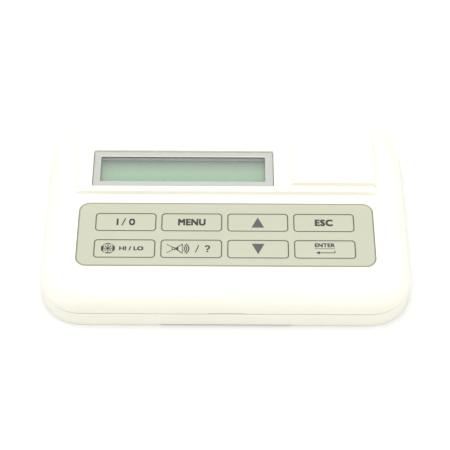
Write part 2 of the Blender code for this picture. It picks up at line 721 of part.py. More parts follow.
def make_screws(finish):
    for number, (x, y) in enumerate(lcd_holes(), start=1):
        make_screw(f"lcd_screw_{number}", x, y, LCD_BOARD_Z - 0.3, 12.9, 1.0, finish)
    for number, (x, y) in enumerate(MAIN_HOLES, start=1):
        make_screw(f"board_screw_{number}", x, y, MAIN_TOP + 0.3, 1.2, 1.0, finish)


def make_panel():
    clear_scene()
    finish = make_materials()
    make_front_cover(finish)
    make_rear_cover(finish)
    make_window(finish)
    make_overlay(finish)
    for name, x, y in key_places():
        make_key(name, x, y, finish)
    make_keypad_layers(finish)
    make_keypad_connector(finish)
    make_lcd_board(finish)
    make_lcd_frame(finish)
    make_lcd_stack(finish)
    make_lcd_connector(finish)
    make_main_board(finish)
    make_microcontroller(finish)
    make_regulator(finish)
    make_crystal(finish)
    make_capacitor(finish)
    make_buzzer(finish)
    make_terminal_block(finish)
    make_trimmer(finish)
    make_screws(finish)


make_panel()
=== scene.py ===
"""Looks of the wall alarm keypad panel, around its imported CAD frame.

The shapes below are given in millimetres and become metres as each mesh is made. Every place comes from
the CAD nodes' boxes, so a piece sits where the CAD says. +X is the panel's right, +Y its top edge, and +Z
points out of its front.
"""

import json
import math

import bmesh
import bpy
from mathutils import Matrix, Vector


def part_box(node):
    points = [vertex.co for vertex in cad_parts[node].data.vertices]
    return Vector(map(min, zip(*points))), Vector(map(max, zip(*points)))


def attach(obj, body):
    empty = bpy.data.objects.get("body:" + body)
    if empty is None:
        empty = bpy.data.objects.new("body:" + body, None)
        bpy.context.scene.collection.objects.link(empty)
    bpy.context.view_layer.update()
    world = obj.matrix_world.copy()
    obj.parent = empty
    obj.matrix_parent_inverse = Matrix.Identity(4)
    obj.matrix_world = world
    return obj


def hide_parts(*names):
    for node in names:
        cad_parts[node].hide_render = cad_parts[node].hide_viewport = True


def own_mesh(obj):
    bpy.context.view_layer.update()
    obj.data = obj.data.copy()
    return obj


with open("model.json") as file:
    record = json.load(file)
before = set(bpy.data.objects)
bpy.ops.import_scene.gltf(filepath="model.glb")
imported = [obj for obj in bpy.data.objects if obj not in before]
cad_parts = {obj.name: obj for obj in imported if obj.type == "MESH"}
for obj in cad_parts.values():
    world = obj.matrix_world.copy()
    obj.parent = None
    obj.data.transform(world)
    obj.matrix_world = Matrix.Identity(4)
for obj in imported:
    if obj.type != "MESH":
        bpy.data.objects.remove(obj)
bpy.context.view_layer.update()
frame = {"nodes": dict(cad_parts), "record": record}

MM = 0.001
PER_METRE = 1000.0
NODES = frame["nodes"]
KEYS = (
    "key_on_off",
    "key_menu",
    "key_up",
    "key_escape",
    "key_fan_speed",
    "key_mute_help",
    "key_down",
    "key_enter",
)


class Span:
    """A CAD node's box at rest, in millimetres."""

    def __init__(self, node):
        low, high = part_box(node)
        self.x0, self.y0, self.z0 = (value / MM for value in low)
        self.x1, self.y1, self.z1 = (value / MM for value in high)
        self.x, self.y = (self.x0 + self.x1) / 2, (self.y0 + self.y1) / 2
        self.w, self.d = self.x1 - self.x0, self.y1 - self.y0


OVERLAY = Span("keypad_overlay")
WINDOW = Span("window_frame")
GLASS = Span("lcd_glass")

# Case, as in the CAD.
WALL = 2.0
RIM_Z = 7.0
GAP = 0.35
FACE_Z = OVERLAY.z1
HALF_W, HALF_D = 71.2, 46.2
CORNER_R = 16.5
SIDE_CURVE, FRONT_CURVE, REAR_CURVE = 11.7, 8.2, 8.0
CAVITY_TOP = 13.9
TONGUE_INSET, TONGUE_T, TONGUE_H = 2.3, 1.2, 1.4
BLOCK_HALF_W, BLOCK_TOP = 59.9, 20.5
BLOCK_EDGE_R, BLOCK_CORNER_R, BLOCK_END_W = 1.0, 1.3, 4.2
BLOCK_Y = (OVERLAY.y + 19.8, OVERLAY.y + 51.3)
PAD_TOP, PAD_FRONT, PAD_REAR = 22.5, OVERLAY.y + 22.7, OVERLAY.y + 46.9
PAD_RAMP, PAD_END_W, PAD_EDGE_R = (24.4, 27.0), 2.8, 0.7
SHOULDER_TOP, SHOULDER_FRONT = 21.2, OVERLAY.y + 22.0
SHOULDER_RAMP = (-54.4, -56.2)
PAD_END_STEP, PAD_CORNER_R, PAD_LEAN, PAD_SINK = 0.1, 0.3, 0.15, 0.3
BLOCK_SINK = 4.5
VIEW_W, VIEW_D = 65.5, 12.8
LIP_Z = (16.9, 17.9)
POCKET_FLOOR = 15.4
SLACK = 0.4

# Snap fits, as (x, side): two along the top edge and one along the lower.
SNAPS = ((-35.0, 1), (35.0, 1), (0.0, -1))
PILOT_R = 1.3

# Wall fixings and the cable entry, in the back.
KEYHOLE_X = 41.75
HEAD_Y, HEAD_R = 30.3, 4.2
SLOT_Y, SLOT_W, SLOT_D, SLOT_R = 34.75, 4.4, 8.9, 2.15
FIXING_Y, FIXING_W = -27.0, 9.0
ENTRY_Y, ENTRY_W, ENTRY_D = -29.6, 40.0, 14.0

# Keys: the slit round each, the flange under the overlay, and the corners.
KEY_SLIT = 0.12
KEY_FLANGE = 0.75
KEY_R = 1.4


# ---------------------------------------------------------------- meshes


def ring(x0, x1, y0, y1, radius, z, steps=10):
    """A rounded rectangle's corners, anticlockwise from above, at height z."""
    corners = (
        (x1 - radius, y0 + radius, -90),
        (x1 - radius, y1 - radius, 0),
        (x0 + radius, y1 - radius, 90),
        (x0 + radius, y0 + radius, 180),
    )
    points = []
    for cx, cy, start in corners:
        for step in range(steps + 1):
            angle = math.radians(start + 90 * step / steps)
            points.append((cx + radius * math.cos(angle), cy + radius * math.sin(angle), z))
    return points


def centred(x, y, width, depth, radius, z, steps=10):
    return ring(x - width / 2, x + width / 2, y - depth / 2, y + depth / 2, radius, z, steps)


def circle(x, y, radius, z, steps=40):
    turn = 2 * math.pi / steps
    return [(x + radius * math.cos(turn * s), y + radius * math.sin(turn * s), z) for s in range(steps)]


def link(name, mesh):
    data = bpy.data.meshes.new(name)
    mesh.to_mesh(data)
    mesh.free()
    obj = bpy.data.objects.new(name, data)
    bpy.context.scene.collection.objects.link(obj)
    return obj


def add_loft(mesh, sections):
    rings = [[mesh.verts.new([value * MM for value in point]) for point in section] for section in sections]
    for low, high in zip(rings, rings[1:]):
        for index, corner in enumerate(low):
            after = (index + 1) % len(low)
            mesh.faces.new((corner, low[after], high[after], high[index]))
    mesh.faces.new(list(reversed(rings[0])))
    mesh.faces.new(rings[-1])


def loft(name, sections):
    mesh = bmesh.new()
    add_loft(mesh, sections)
    return link(name, mesh)


def box(name, x_range, y_range, z_range, radius=0.05, steps=3):
    return loft(name, [ring(*x_range, *y_range, radius, z, steps) for z in z_range])


def plate(name, x, y, width, depth, z_range, radius=0.05, steps=6):
    return loft(name, [centred(x, y, width, depth, radius, z, steps) for z in z_range])


def turned(name, x, y, profile, steps=40):
    return loft(name, [circle(x, y, radius, z, steps) for radius, z in profile])


def quarter(steps):
    return [math.radians(90 * step / steps) for step in range(steps + 1)]


def combine(obj, tools, operation):
    for tool in tools:
        modifier = obj.modifiers.new(operation.lower(), "BOOLEAN")
        modifier.operation = operation
        modifier.solver = "EXACT"
        modifier.object = tool
        graph = bpy.context.evaluated_depsgraph_get()
        made = bpy.data.meshes.new_from_object(obj.evaluated_get(graph), depsgraph=graph)
        obj.modifiers.clear()
        replaced, obj.data = obj.data, made
        made.name = obj.name
        bpy.data.meshes.remove(replaced)
        bpy.data.objects.remove(tool, do_unlink=True)
    return obj


def join(obj, *tools):
    return combine(obj, tools, "UNION")


def cut(obj, *tools):
    return combine(obj, tools, "DIFFERENCE")


def smooth(obj, angle=32):
    obj.data.shade_smooth()
    obj.data.set_sharp_from_angle(angle=math.radians(angle))
    normals = obj.modifiers.new("normals", "WEIGHTED_NORMAL")
    normals.keep_sharp = True
    return obj


# ---------------------------------------------------------------- finishes


class Finish:
    """A procedural material: Principled, with patterns in the piece's own coordinates."""

    def __init__(self, name, roughness=0.45, metallic=0.0, **sockets):
        self.material = bpy.data.materials.new(name)
        self.material.use_nodes = True
        self.tree = self.material.node_tree
        self.shader = self.tree.nodes["Principled BSDF"]
        self.shader.inputs["Roughness"].default_value = roughness
        self.shader.inputs["Metallic"].default_value = metallic
        for label, value in sockets.items():
            self.shader.inputs[label.replace("_", " ")].default_value = value
        self.place = self.node("ShaderNodeTexCoord").outputs["Object"]

    def node(self, kind, settings=(), **inputs):
        made = self.tree.nodes.new(kind)
        for label, value in dict(settings).items():
            setattr(made, label, value)
        for label, value in inputs.items():
            by_number = label[0] == "i" and label[1:].isdigit()
            socket = made.inputs[int(label[1:]) if by_number else label]
            if isinstance(value, bpy.types.NodeSocket):
                self.tree.links.new(value, socket)
            else:
                socket.default_value = value
        return made

    def noise(self, size, detail=3.0, roughness=0.5, stretch=None):
        """Noise with features about size millimetres across."""
        place = self.place
        if stretch:
            place = self.node("ShaderNodeMapping", Vector=place, Scale=stretch).outputs["Vector"]
        scale = PER_METRE / size
        made = self.node("ShaderNodeTexNoise", Vector=place, Scale=scale, Detail=detail, Roughness=roughness)
        return made.outputs["Fac"]

    def cells(self, size):
        """Distance from the middles of cells about size millimetres across."""
        made = self.node("ShaderNodeTexVoronoi", Vector=self.place, Scale=PER_METRE / size)
        return made.outputs["Distance"]

    def math(self, operation, first, second=0.0):
        return self.node("ShaderNodeMath", {"operation": operation}, i0=first, i1=second).outputs[0]

    def spread(self, value, low, high, onto=(0.0, 1.0)):
        """Maps value from low..high onto a range, clamped."""
        made = self.node("ShaderNodeMapRange", i0=value, i1=low, i2=high, i3=onto[0], i4=onto[1])
        return made.outputs[0]

    def mix(self, factor, first, second):
        first, second = ((*c, 1.0) if isinstance(c, tuple) else c for c in (first, second))
        made = self.node("ShaderNodeMix", {"data_type": "RGBA"}, i0=factor, i6=first, i7=second)
        return made.outputs[2]

    def axis(self, name):
        return self.node("ShaderNodeSeparateXYZ", Vector=self.place).outputs[name]

    def color(self, value):
        self.tree.links.new(value, self.shader.inputs["Base Color"])
        return self

    def rough(self, value, low, high):
        self.tree.links.new(self.spread(value, 0.3, 0.7, (low, high)), self.shader.inputs["Roughness"])
        return self

    def bump(self, *layers):
        """Layers of (height, depth in millimetres)."""
        normal = None
        for height, depth in layers:
            made = self.node("ShaderNodeBump", Height=height, Distance=depth * MM, Strength=1.0)
            if normal:
                self.tree.links.new(normal, made.inputs["Normal"])
            normal = made.outputs["Normal"]
        self.tree.links.new(normal, self.shader.inputs["Normal"])
        return self


def tinted(color, share):
    return tuple(value * share for value in color)


def moulded(name, color, roughness=0.45, grain=0.35, depth=0.012, **sockets):
    """Moulded plastic: slow drift in its colour, a fine texture, and roughness that follows the flow."""
    finish = Finish(name, roughness, **sockets)
    drift = finish.noise(38.0, 2.0)
    grains = finish.noise(grain, 2.0, 0.6)
    shade = finish.mix(finish.spread(drift, 0.3, 0.7), tinted(color, 0.975), tinted(color, 1.015))
    speckle = finish.spread(grains, 0.35, 0.75, (0.0, 0.16))
    finish.color(finish.mix(speckle, shade, tinted(color, 0.93)))
    finish.rough(finish.noise(7.0, 3.0), roughness - 0.05, roughness + 0.06)
    return finish.bump((grains, depth), (finish.noise(9.0, 1.0), 0.02))


CREAM = (0.88, 0.862, 0.75)


def case_finish():
    return moulded("case_plastic", CREAM, 0.46, 0.32, 0.010)


def overlay_finish():
    """Hard-coated film, printed on its back: a very fine velvet texture over an even beige green."""
    color = (0.487, 0.494, 0.378)
    finish = Finish("overlay_film", 0.38)
    velvet = finish.noise(0.14, 2.0, 0.6)
    drift = finish.noise(24.0, 2.0)
    shade = finish.mix(finish.spread(drift, 0.3, 0.7), tinted(color, 0.985), tinted(color, 1.015))
    finish.color(finish.mix(finish.spread(velvet, 0.4, 0.75, (0.0, 0.14)), shade, tinted(color, 0.9)))
    finish.rough(finish.noise(3.0, 3.0), 0.33, 0.44)
    return finish.bump((velvet, 0.006), (finish.noise(5.0, 1.0), 0.01))


def ink_finish(name, color):
    """Screen-printed ink, with small pinholes of thinner ink."""
    finish = Finish(name, 0.5)
    grains = finish.noise(0.11, 2.0, 0.6)
    finish.color(finish.mix(finish.spread(grains, 0.45, 0.8), color, tinted(color, 1.7)))
    finish.rough(grains, 0.42, 0.58)
    return finish.bump((grains, 0.004))


def silver_finish():
    """Satin silver paint: fine flakes in a grey base."""
    color = (0.500, 0.508, 0.473)
    finish = Finish("frame_plastic", 0.36, 0.15)
    flakes = finish.cells(0.09)
    finish.color(finish.mix(finish.spread(flakes, 0.1, 0.75), tinted(color, 1.12), tinted(color, 0.92)))
    finish.rough(finish.noise(2.5), 0.30, 0.42)
    return finish.bump((flakes, 0.004), (finish.noise(0.5), 0.004))


def bevel_highlight_finish():
    """The frame's inner bevel: a lighter silver that paints the highlight where the bevel faces the light."""
    color = (0.62, 0.625, 0.60)
    finish = Finish("frame_bevel_highlight", 0.32, 0.1)
    flakes = finish.cells(0.09)
    finish.color(finish.mix(finish.spread(flakes, 0.1, 0.75), tinted(color, 1.08), tinted(color, 0.94)))
    finish.rough(finish.noise(2.5), 0.27, 0.38)
    return finish.bump((flakes, 0.004))


def shaded_wall_finish():
    """The frame's upright inner wall: a grey darkened as painted shade, with a painted shadow line along its
    upper edge.
    """
    finish = Finish("frame_wall_shade", 0.5)
    grains = finish.noise(0.2, 2.0)
    # Painted shadow: the wall's top turns near black for the shade of the gap between frame and lens, and the
    # grey below it is painted shade.
    upper = finish.spread(finish.axis("Z"), (WINDOW.z1 - 0.82) * MM, (WINDOW.z1 - 0.74) * MM)
    grey = finish.mix(grains, (0.34, 0.35, 0.33), (0.38, 0.39, 0.37))
    finish.color(finish.mix(upper, grey, (0.055, 0.058, 0.055)))
    finish.rough(grains, 0.45, 0.6)
    return finish.bump((grains, 0.004))


def lens_finish():
    """Clear moulded acrylic with faint flow lines."""
    finish = Finish("lens_plastic", 0.06, Alpha=0.10, IOR=1.49)
    haze = finish.noise(12.0, 2.0, stretch=(0.3, 1.0, 1.0))
    finish.color(finish.mix(haze, (0.86, 0.89, 0.87), (0.93, 0.95, 0.93)))
    finish.rough(haze, 0.04, 0.09)
    return finish.bump((haze, 0.01))


# The display's characters, 5 by 8 dots each, in millimetres.
DOT_X, DOT_Y = 0.60, 0.70
CELL_X, CELL_Y = 3.55, 5.95
CELL_W, CELL_D = 2.95, 5.55
CELLS_LEFT, CELLS_FRONT = 28.4, 5.8


def display_finish():
    """Reflective green display under its polariser, with the blank character cells barely showing. Its colour
    darkens towards the rear edge: painted shadow and painted reflection of the frame's rear wall.
    """
    color, painted_shadow_color = (0.216, 0.372, 0.211), (0.146, 0.203, 0.170)
    finish = Finish("display_glass", 0.3, Coat_Weight=0.3, Coat_Roughness=0.08)
    x, y = finish.axis("X"), finish.axis("Y")

    left, front = GLASS.x - CELLS_LEFT, GLASS.y - CELLS_FRONT

    def gaps(value, start, pitch, share):
        """1 on a gap that takes this share of each pitch, along one axis."""
        moved = finish.math("SUBTRACT", value, start * MM)
        turn = finish.math("FRACT", finish.math("DIVIDE", moved, pitch * MM))
        return finish.math("LESS_THAN", turn, share)

    def either(first, second):
        return finish.math("MAXIMUM", first, second)

    dots = either(gaps(x, left, DOT_X, 0.10), gaps(y, front, DOT_Y, 0.09))
    cells = either(gaps(x, left + CELL_W, CELL_X, 0.17), gaps(y, front + CELL_D, CELL_Y, 0.067))
    lines = either(dots, cells)
    streaks = finish.noise(16.0, 2.0, stretch=(0.25, 1.0, 1.0))
    shade = finish.mix(finish.spread(streaks, 0.3, 0.7), tinted(color, 0.97), tinted(color, 1.03))
    # Painted shadow: the glass darkens towards its rear edge, standing in for the frame's shadow and its
    # reflection in the glass.
    shadow_to_rear = finish.spread(y, (GLASS.y + 1.0) * MM, (GLASS.y + VIEW_D / 2) * MM)
    shade = finish.mix(shadow_to_rear, shade, painted_shadow_color)
    finish.color(finish.mix(finish.math("MULTIPLY", lines, 0.12), shade, tinted(color, 0.8)))
    finish.rough(finish.noise(1.2), 0.26, 0.36)
    return finish.bump((finish.noise(0.12, 1.0), 0.002))


def metal(name, color, roughness=0.3, grain=0.25, stretch=(1.0, 14.0, 1.0), depth=0.004):
    """Plated or rolled metal with fine drawn lines and faint staining."""
    finish = Finish(name, roughness, 1.0)
    lines = finish.noise(grain * 8, 4.0, 0.6, stretch=stretch)
    stain = finish.noise(4.0, 3.0)
    finish.color(finish.mix(finish.spread(stain, 0.35, 0.7), color, tinted(color, 0.86)))
    finish.rough(lines, roughness - 0.07, roughness + 0.12)
    return finish.bump((lines, depth))


def board_finish():
    """Green solder mask over glass weave: tracks show as lighter lines, vias and pads as tinned dots."""
    finish = Finish("circuit_board", 0.34, Coat_Weight=0.4, Coat_Roughness=0.15)
    weave = finish.node("ShaderNodeTexBrick", Vector=finish.place, Scale=1400.0).outputs["Fac"]
    tracks = finish.node(
        "ShaderNodeTexBrick",
        {"offset": 0.37, "squash": 0.6},
        Vector=finish.place,
        Scale=170.0,
        **{"Mortar Size": 0.035},
    ).outputs["Fac"]
    broken = finish.spread(finish.noise(9.0, 1.0), 0.46, 0.52)
    copper = finish.math("MULTIPLY", tracks, broken)
    drift = finish.spread(finish.noise(14.0), 0.3, 0.7)
    mask = finish.mix(drift, (0.012, 0.105, 0.035), (0.018, 0.15, 0.052))
    mask = finish.mix(finish.math("MULTIPLY", weave, 0.25), mask, (0.010, 0.085, 0.030))
    shade = finish.mix(copper, mask, (0.05, 0.27, 0.10))
    vias = finish.spread(finish.cells(4.3), 0.085, 0.10, (1.0, 0.0))
    finish.color(finish.mix(vias, shade, (0.62, 0.62, 0.58)))
    finish.rough(finish.noise(3.0), 0.30, 0.40)
    return finish.bump((copper, 0.03), (vias, 0.03))


def circuit_film_finish():
    """Amber film with silver tracks and carbon pads showing through it."""
    finish = Finish("circuit_film", 0.35, Coat_Weight=0.3)
    tracks = finish.node(
        "ShaderNodeTexBrick", {"offset": 0.5}, Vector=finish.place, Scale=110.0, **{"Mortar Size": 0.05}
    ).outputs["Fac"]
    film = finish.mix(finish.noise(12.0), (0.50, 0.31, 0.09), (0.58, 0.38, 0.13))
    finish.color(finish.mix(finish.math("MULTIPLY", tracks, 0.8), film, (0.52, 0.51, 0.48)))
    finish.rough(finish.noise(2.0), 0.28, 0.42)
    return finish.bump((tracks, 0.02))


def elastomer_finish():
    """Zebra strip: thin black conducting bands through grey silicone."""
    finish = Finish("elastomer", 0.65)
    turn = finish.math("FRACT", finish.math("DIVIDE", finish.axis("X"), 0.18 * MM))
    bands = finish.math("LESS_THAN", turn, 0.5)
    shade = finish.mix(finish.noise(1.0), (0.26, 0.26, 0.27), (0.34, 0.34, 0.35))
    finish.color(finish.mix(bands, shade, (0.04, 0.04, 0.04)))
    finish.rough(finish.noise(0.4), 0.55, 0.75)
    return finish.bump((finish.noise(0.2), 0.01))


FINISHES = {
    "case_plastic": case_finish(),
    "overlay_film": overlay_finish(),
    "frame_plastic": silver_finish(),
    "lens_plastic": lens_finish(),
    "display_glass": display_finish(),
    "light_guide": moulded("light_guide", (0.80, 0.86, 0.74), 0.30, 0.5, 0.003),
    "elastomer": elastomer_finish(),
    "circuit_board": board_finish(),
    "spacer_film": moulded("spacer_film", (0.74, 0.74, 0.70), 0.48, 0.2, 0.005),
    "circuit_film": circuit_film_finish(),
    "dome_steel": metal("dome_steel", (0.74, 0.74, 0.75), 0.22, 0.12),
    "sheet_steel": metal("sheet_steel", (0.60, 0.60, 0.61), 0.30),
    "screw_steel": metal("screw_steel", (0.66, 0.65, 0.62), 0.28, 0.1, (6.0, 6.0, 1.0)),
    "chip_plastic": moulded("chip_plastic", (0.022, 0.022, 0.025), 0.5, 0.16, 0.02),
    "connector_plastic": moulded("connector_plastic", (0.80, 0.77, 0.67), 0.42, 0.3, 0.01),
    "terminal_plastic": moulded("terminal_plastic", (0.035, 0.23, 0.085), 0.42, 0.3, 0.01),
    "capacitor_can": metal("capacitor_can", (0.70, 0.71, 0.73), 0.24, 0.1, (1.0, 1.0, 12.0)),
    "trimmer_plastic": moulded("trimmer_plastic", (0.03, 0.09, 0.40), 0.40, 0.2, 0.01),
    "rotor_plastic": moulded("rotor_plastic", (0.82, 0.81, 0.74), 0.42, 0.2, 0.01),
}
INK = ink_finish("legend_ink", (0.026, 0.026, 0.024))
ARROW_INK = ink_finish("arrow_ink", (0.078, 0.078, 0.084))
OUTLINE_INK = ink_finish("outline_ink", (0.070, 0.072, 0.058))
BEVEL_HIGHLIGHT = bevel_highlight_finish()
WALL_SHADE_FINISH = shaded_wall_finish()
# Dark olive ink that paints the shadow of the gap round the keypad film.
SHADOW_GAP_INK = ink_finish("shadow_gap_ink", (0.245, 0.245, 0.180))


def paint(obj, slot):
    obj.data.materials.clear()
    obj.data.materials.append(FINISHES[slot].material)
    return obj


# ---------------------------------------------------------------- front cover


def dome(rise, inset):
    """The front cover's outline at this rise above its rim. Each side is a quarter ellipse."""
    turn = 1 - math.sqrt(max(0.0, 1 - (rise / (FACE_Z - RIM_Z - GAP)) ** 2))
    half_w = HALF_W - SIDE_CURVE * turn - inset
    y0, y1 = -HALF_D + FRONT_CURVE * turn + inset, HALF_D - REAR_CURVE * turn - inset
    return ring(-half_w, half_w, y0, y1, CORNER_R - REAR_CURVE * turn - inset, RIM_Z + GAP + rise, 24)


def front_shell():
    height = FACE_Z - RIM_Z - GAP
    rounds = [dome(0.0, 0.22), *[dome(0.22 * math.sin(a), 0.22 * (1 - math.sin(a))) for a in quarter(3)[1:]]]
    rises = [height * math.sin(angle) for angle in quarter(26)]
    return loft("front_shell", [*rounds, *[dome(rise, 0.0) for rise in rises if rise > 0.25]])


def ellipse_inset(share, width):
    """How far a quarter ellipse of this width has come in, at a share of its height."""
    return width * (1 - math.sqrt(max(0.0, 1 - share * share)))


def edge_inset(z, top, radius):
    """How far an edge rounded by radius has come in, at height z."""
    return ellipse_inset(max(0.0, (z - top + radius) / radius), radius)


def raised_block():
    """The block: a fillet at its foot, its long edges rounded, and its ends a low curve down to the face."""
    fillet = 0.7
    rise = BLOCK_TOP - FACE_Z
    heights = [FACE_Z - BLOCK_SINK, *[FACE_Z - 0.02 + rise * math.sin(angle) for angle in quarter(18)]]
    sections = []
    for z in heights:
        x = BLOCK_HALF_W - ellipse_inset(max(0.0, z - FACE_Z) / rise, BLOCK_END_W)
        foot = ellipse_inset(min(1.0, max(0.0, 1 - (z - FACE_Z) / fillet)), fillet)
        inset = edge_inset(z, BLOCK_TOP, BLOCK_EDGE_R) - foot
        sections.append(ring(-x, x, BLOCK_Y[0] + inset, BLOCK_Y[1] - inset, BLOCK_CORNER_R, z, 12))
    return loft("raised_block", sections)


def end_pad(name, side, ramp, front, top):
    """A raised pad at one end of the block: a ramp at its inner end, a curve down at its outer."""
    foot, crest = ramp
    reach = top - FACE_Z
    heights = [FACE_Z - PAD_SINK, *[FACE_Z + reach * math.sin(angle) for angle in quarter(20)[1:]]]
    sections = []
    for z in heights:
        outer = BLOCK_HALF_W - PAD_END_STEP - ellipse_inset(max(0.0, z - FACE_Z) / reach, PAD_END_W)
        share = max(0.0, (z - BLOCK_TOP) / (top - BLOCK_TOP))
        inner = foot + (crest - foot) * share
        inset = edge_inset(z, top, PAD_EDGE_R) + PAD_LEAN * share
        x0, x1 = sorted((inner, side * outer))
        sections.append(ring(x0, x1, front + inset, PAD_REAR - inset, PAD_CORNER_R, z, 6))
    return loft(name, sections)


def right_pad():
    return end_pad("right_pad", 1, PAD_RAMP, PAD_FRONT, PAD_TOP)


def left_shoulder():
    return end_pad("left_shoulder", -1, SHOULDER_RAMP, SHOULDER_FRONT, SHOULDER_TOP)


def flared(name, x, y, width, depth, floor, top, radius, flare, steps=12):
    """A cutter for a hole whose upper edge is rounded by flare."""
    sections = [centred(x, y, width, depth, radius, floor, steps)]
    for angle in quarter(4):
        grow = flare * (1 - math.cos(angle))
        z = top - flare + flare * math.sin(angle)
        sections.append(centred(x, y, width + 2 * grow, depth + 2 * grow, radius + grow, z, steps))
    last = sections[-1]
    sections.append([(px, py, top + 1.5) for px, py, _ in last])
    return loft(name, sections)


def display_holes():
    """The four places where the display's board is screwed to the front cover."""
    return [(Span(f"lcd_screw_{n}").x, Span(f"lcd_screw_{n}").y) for n in range(1, 5)]


def make_front():
    shell = front_shell()
    join(shell, raised_block(), right_pad(), left_shoulder())
    rim = RIM_Z + GAP
    cavity = [dome((CAVITY_TOP - rim) * step / 10, WALL) for step in range(11)]
    below = [(x, y, rim - 1.0) for x, y, _ in cavity[0]]
    frame_y = (GLASS.y - 13.0, BLOCK_Y[1] - WALL)
    view_z = (LIP_Z[0] - 1, LIP_Z[1] + 1)
    pad_y = (PAD_FRONT + 0.6, PAD_REAR - WALL)
    width, depth = OVERLAY.w + SLACK, OVERLAY.d + SLACK
    pocket = flared("pocket", 0.0, OVERLAY.y, width, depth, POCKET_FLOOR, FACE_Z, 4.2, 0.15, 16)
    width, depth = WINDOW.w + SLACK, WINDOW.d + SLACK
    recess = flared("recess", WINDOW.x, WINDOW.y, width, depth, LIP_Z[1], BLOCK_TOP, 0.6, 0.25)
    tail = Span("keypad_connector")
    cut(
        shell,
        loft("cavity", [below, *cavity]),
        box("display_cavity", (-58.0, 24.0), frame_y, (CAVITY_TOP - 1, LIP_Z[0])),
        box("pad_cavity", (27.5, 57.0), pad_y, (CAVITY_TOP - 1, PAD_TOP - 2.4), 1.0),
        pocket,
        recess,
        plate("view", GLASS.x, GLASS.y, VIEW_W + 0.6, VIEW_D + 0.6, view_z, 0.3),
        plate("tail_slot", tail.x, tail.y, 17.0, 1.6, (CAVITY_TOP - 1, 16.4)),
        box("pry_slot", (-6.6, 6.6), (-HALF_D - 1, -HALF_D + 1.3), (RIM_Z - 1, RIM_Z + 0.95)),
    )
    bosses, pilots, catches = [], [], []
    for x, y in display_holes():
        top = CAVITY_TOP + 0.6 if y < GLASS.y else LIP_Z[0] + 0.3
        bosses.append(turned("boss", x, y, ((2.6, 9.9), (2.6, top)), 32))
        pilots.append(turned("pilot", x, y, ((PILOT_R, 8.0), (PILOT_R, CAVITY_TOP - 0.5)), 24))
    for x, side in SNAPS:
        y_range = sorted((side * (HALF_D - 3.7), side * (HALF_D - 1.2)))
        catches.append(box("catch", (x - 6.0, x + 6.0), y_range, (8.75, 9.5)))
    join(shell, *bosses, *catches)
    cut(shell, *pilots)
    paint(smooth(shell), "case_plastic")
    # The lip's wall inside the display opening takes the silver finish: silver paint on that edge, in a
    # colour darker than the cream that also paints the shade in the opening.
    shell.data.materials.append(FINISHES["frame_plastic"].material)
    for face in shell.data.polygons:
        x, y, z = (value / MM for value in face.center)
        inside = abs(x - GLASS.x) < VIEW_W / 2 + 0.4 and abs(y - GLASS.y) < VIEW_D / 2 + 0.4
        face.material_index = int(inside and LIP_Z[0] < z < LIP_Z[1])
    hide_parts("front_cover")
    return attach(shell, "panel")


# ---------------------------------------------------------------- rear cover


def case(inset, z):
    return ring(
        -HALF_W + inset, HALF_W - inset, -HALF_D + inset, HALF_D - inset, CORNER_R - inset, z, 24
    )


def make_rear():
    rounds = [(0.35 * (1 - math.sin(a)), 0.35 * (1 - math.cos(a))) for a in quarter(4)]
    lip = [(-0.1 * math.sin(a), RIM_Z - 0.85 + 0.4 * math.sin(a)) for a in quarter(4)]
    top = [(0.3 - 0.4 * math.cos(a), RIM_Z - 0.45 + 0.45 * math.sin(a)) for a in quarter(6)[1:]]
    tongue = [(TONGUE_INSET, RIM_Z), (TONGUE_INSET, RIM_Z + 1.2), (TONGUE_INSET + 0.2, RIM_Z + TONGUE_H)]
    shell = loft("rear_shell", [case(inset, z) for inset, z in (*rounds, *lip, *top, *tongue)])
    inner = TONGUE_INSET + TONGUE_T
    cut(shell, loft("cavity", [case(inner, WALL), case(inner, RIM_Z + TONGUE_H + 1)]))
    board = Span("main_board")
    holes = [(Span(f"board_screw_{n}").x, Span(f"board_screw_{n}").y) for n in range(1, 5)]
    bosses = [turned("boss", x, y, ((3.0, WALL - 0.5), (3.0, board.z0 - 0.3)), 32) for x, y in holes]
    hooks = []
    for x, side in SNAPS:
        tab_y = sorted((side * (HALF_D - 5.5), side * (HALF_D - 4.0)))
        barb_y = sorted((side * (HALF_D - 4.9), side * (HALF_D - 3.0)))
        hooks.append(box("hook", (x - 5.5, x + 5.5), tab_y, (WALL - 0.5, 11.4)))
        hooks.append(box("barb", (x - 5.2, x + 5.2), barb_y, (9.85, 10.9)))
    join(shell, *bosses, *hooks)
    through = (-1.0, WALL + 1.0)
    cutters = [plate("entry", 0.0, ENTRY_Y, ENTRY_W, ENTRY_D, through, 2.0, 12)]
    cutters.append(box("relief", (-25.0, 25.0), (-HALF_D - 1, -HALF_D + 3.0), (-1.0, 0.6)))
    for x in (-KEYHOLE_X, KEYHOLE_X):
        cutters.append(turned("head", x, HEAD_Y, ((HEAD_R, through[0]), (HEAD_R, through[1])), 46))
        cutters.append(plate("slot", x, SLOT_Y, SLOT_W, SLOT_D, through, SLOT_R, 14))
        cutters.append(plate("fixing", x, FIXING_Y, FIXING_W, SLOT_W, through, SLOT_R, 14))
    cut(shell, *cutters)
    cut(shell, *[turned("pilot", x, y, ((PILOT_R, 0.8), (PILOT_R, board.z0 + 1)), 24) for x, y in holes])
    paint(smooth(shell), "case_plastic")
    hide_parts("rear_cover")
    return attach(shell, "panel")


# ---------------------------------------------------------------- display window


